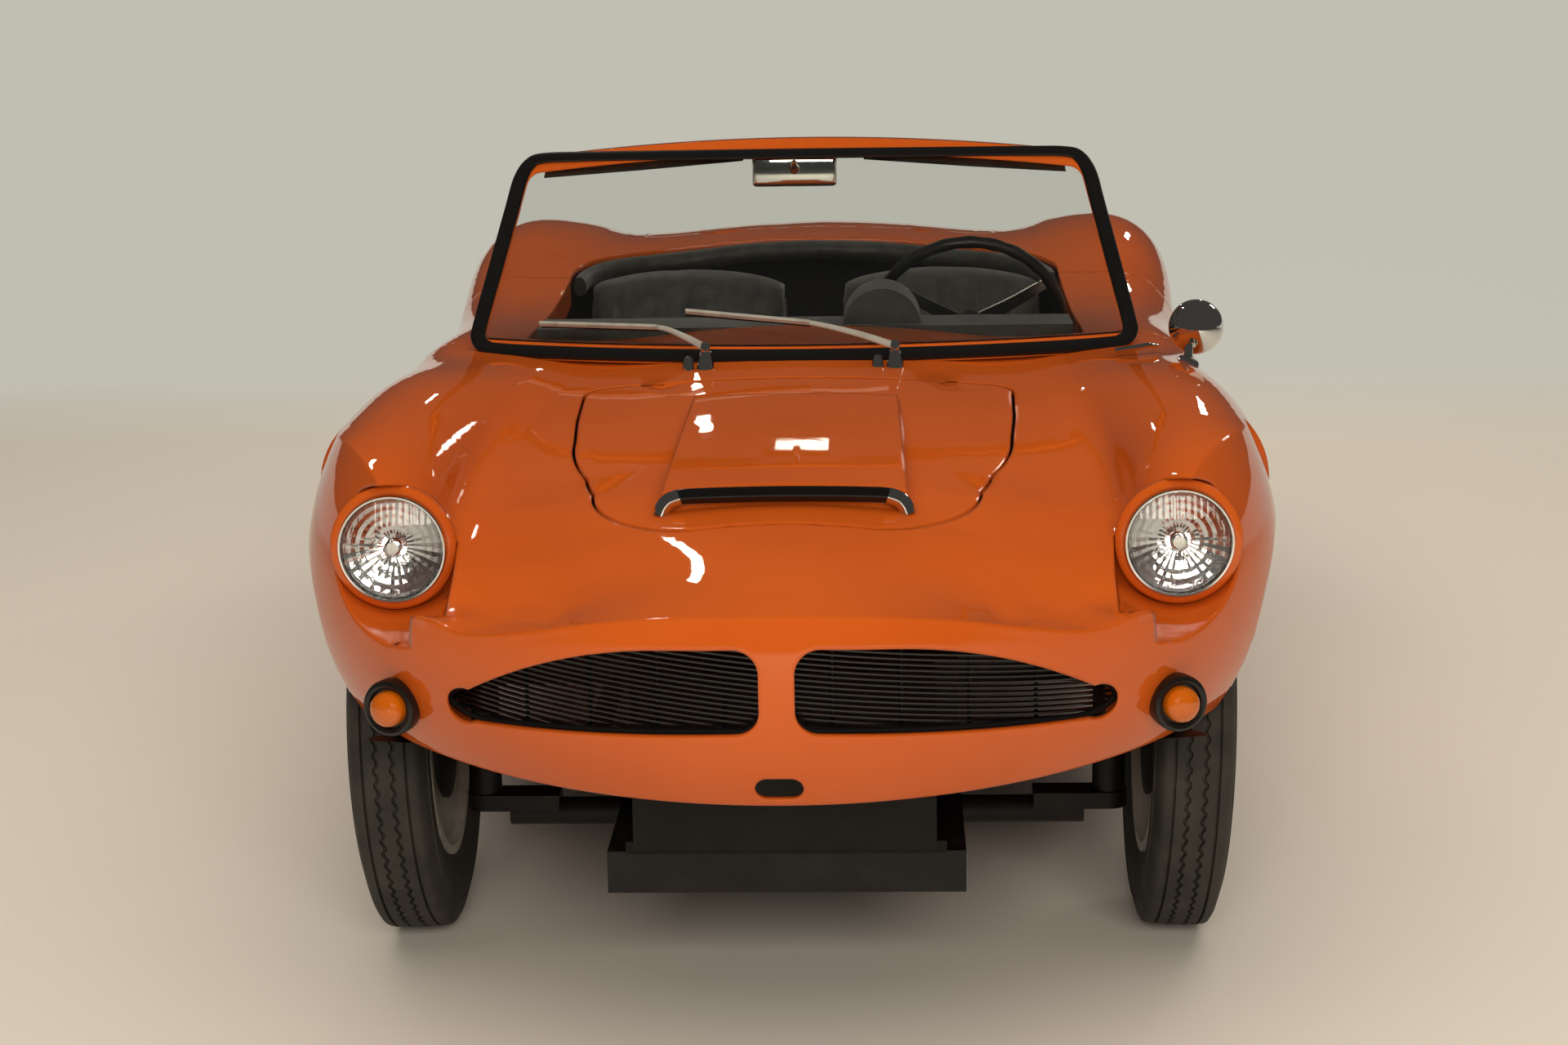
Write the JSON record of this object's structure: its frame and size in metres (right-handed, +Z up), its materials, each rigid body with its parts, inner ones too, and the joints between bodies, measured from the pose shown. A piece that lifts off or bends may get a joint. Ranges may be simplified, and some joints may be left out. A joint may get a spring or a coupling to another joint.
{
  "type": "open two-seat roadster",
  "caption": "Open two-seat roadster with a rounded plastic body on a platform chassis, hinged doors and lids, steered front wheels and turning wheels.",
  "frame": {"origin": "on the ground under the middle of the car", "axes": "+Z up, +X the car's left side, the front faces -Y"},
  "size_m": [1.5798, 3.934, 1.176],
  "materials": {
    "body_paint": "glossy",
    "black_chassis": "semi gloss",
    "black_plastic": "grained",
    "black_vinyl": "satin",
    "chrome": "polished",
    "steel": "satin",
    "clear_glass": "polished",
    "lamp_glass": "polished",
    "amber_lens": "glossy",
    "red_lens": "glossy",
    "tyre_rubber": "matte",
    "wheel_paint": "satin",
    "cast_grey": "rough",
    "floor_mat": "matte"
  },
  "bodies": {
    "root": {"body_front": "body_paint", "body_rear": "body_paint", "sills": "body_paint", "windscreen_frame": "body_paint", "windscreen_glass": "clear_glass", "grille_mesh": "black_plastic", "headlamp_bowls": "chrome", "headlamp_lenses": "lamp_glass", "front_indicators": "amber_lens", "tail_lamps": "red_lens", "platform_chassis": "black_chassis", "tunnel": "floor_mat", "firewall": "floor_mat", "rear_bulkhead": "floor_mat", "boot_floor": "floor_mat", "engine_block": "cast_grey", "front_axle": "black_chassis", "rear_axle": "black_chassis", "dashboard": "black_plastic", "steering_column": "black_plastic", "seat_left": "black_vinyl", "seat_right": "black_vinyl", "wipers": "steel", "interior_mirror": "black_plastic", "wing_mirror": "chrome", "sun_visors": "black_vinyl", "gear_lever": "black_plastic", "exhaust": "steel"},
    "bonnet": {"bonnet_lid": "body_paint", "scoop_lip": "chrome"},
    "boot": {"boot_lid": "body_paint"},
    "door_left": {"door_left": "body_paint"},
    "door_right": {"door_right": "body_paint"},
    "steering": {"steering_wheel": "black_plastic"},
    "knuckle_left": {"knuckle_left": "steel"},
    "knuckle_right": {"knuckle_right": "steel"},
    "wheel_front_left": {"tyre_front_left": "tyre_rubber", "rim_front_left": "wheel_paint"},
    "wheel_front_right": {"tyre_front_right": "tyre_rubber", "rim_front_right": "wheel_paint"},
    "wheel_rear_left": {"tyre_rear_left": "tyre_rubber", "rim_rear_left": "wheel_paint"},
    "wheel_rear_right": {"tyre_rear_right": "tyre_rubber", "rim_rear_right": "wheel_paint"}
  },
  "joints": [
    {"name": "bonnet_hinge", "type": "hinge", "parent": "root", "child": "bonnet", "pos_m": [0, -0.7875, 0.812], "axis": [-1, 0, 0], "range_deg": [0, 50]},
    {"name": "boot_hinge", "type": "hinge", "parent": "root", "child": "boot", "pos_m": [0, 0.8775, 0.897], "axis": [1, 0, 0], "range_deg": [0, 60]},
    {"name": "door_left_hinge", "type": "hinge", "parent": "root", "child": "door_left", "pos_m": [0.752, -0.4035, 0.5], "axis": [0, 0, -1], "range_deg": [0, 62]},
    {"name": "door_right_hinge", "type": "hinge", "parent": "root", "child": "door_right", "pos_m": [-0.752, -0.4035, 0.5], "axis": [0, 0, 1], "range_deg": [0, 62]},
    {"name": "steering_turn", "type": "hinge", "parent": "root", "child": "steering", "pos_m": [0.31, -0.06, 0.797], "axis": [0, 0.9063, 0.4226], "range_deg": [-540, 540]},
    {"name": "steer_left", "type": "hinge", "parent": "root", "child": "knuckle_left", "pos_m": [0.497, -1.236, 0.312], "axis": [0, 0, 1], "range_deg": [-30, 30]},
    {"name": "steer_right", "type": "hinge", "parent": "root", "child": "knuckle_right", "pos_m": [-0.497, -1.236, 0.312], "axis": [0, 0, 1], "range_deg": [-30, 30]},
    {"name": "roll_front_left", "type": "hinge", "parent": "knuckle_left", "child": "wheel_front_left", "pos_m": [0.603, -1.236, 0.31156], "axis": [0.9994, 0, -0.0349], "continuous": true},
    {"name": "roll_front_right", "type": "hinge", "parent": "knuckle_right", "child": "wheel_front_right", "pos_m": [-0.603, -1.236, 0.31156], "axis": [0.9994, 0, 0.0349], "continuous": true},
    {"name": "roll_rear_left", "type": "hinge", "parent": "root", "child": "wheel_rear_left", "pos_m": [0.64, 1.164, 0.31], "axis": [1, 0, 0], "continuous": true},
    {"name": "roll_rear_right", "type": "hinge", "parent": "root", "child": "wheel_rear_right", "pos_m": [-0.64, 1.164, 0.31], "axis": [1, 0, 0], "continuous": true}
  ],
  "couplings": [
    {"joint": "steer_left", "follows": "steering_turn", "ratio": 0.055555},
    {"joint": "steer_right", "follows": "steering_turn", "ratio": 0.055555}
  ]
}
